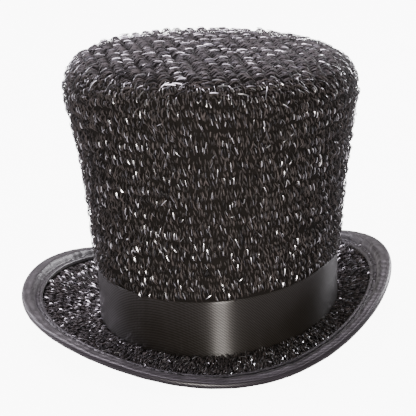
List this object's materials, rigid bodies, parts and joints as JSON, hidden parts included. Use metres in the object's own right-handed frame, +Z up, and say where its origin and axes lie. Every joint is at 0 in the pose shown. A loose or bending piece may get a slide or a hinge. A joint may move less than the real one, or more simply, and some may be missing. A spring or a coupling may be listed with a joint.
{
  "type": "top hat",
  "caption": "Flared top hat with a soft rounded tip, chunky rib-knit cover, smooth satin band and a satin-bound brim that curls up at its sides",
  "frame": {"origin": "middle of the brim's outline in plan, on the plane the hat stands on", "axes": "+Z up out of the tip, -Y to the front of the hat, +X to the wearer's left, +Y to the back"},
  "size_m": [0.2652, 0.3096, 0.1979],
  "materials": {
    "knit": "chunky rib knit with a glittering metallic strand",
    "satin": "smooth black satin ribbon with a soft sheen",
    "board": "stiffened open-weave hat board",
    "under_cloth": "plain black cloth",
    "tape": "woven cotton tape",
    "wire": "bare drawn wire",
    "joiner": "plain tube",
    "thread": "twisted sewing thread",
    "sweatband_ribbon": "ribbed ribbon",
    "reed": "smooth cord",
    "lining": "smooth lining cloth"
  },
  "bodies": {
    "root": {"crown_side_cover": "knit", "crown_tip_cover": "knit", "brim_top_cover": "knit", "crown_side_board": "board", "crown_tip_board": "board", "brim_stiffener": "board", "brim_under_cover": "under_cloth", "join_tape": "tape", "crown_tip_wire": "wire", "brim_edge_wire": "wire", "headline_wire": "wire", "brim_wire_joiner": "joiner", "brim_binding": "satin", "binding_stitches": "thread", "hat_band": "satin", "hat_band_join": "satin", "hat_band_tacks": "thread", "sweatband": "sweatband_ribbon", "sweatband_reed": "reed", "sweatband_stitches": "thread", "sweatband_bow": "satin", "lining_side": "lining", "lining_tip": "lining"}
  },
  "joints": []
}
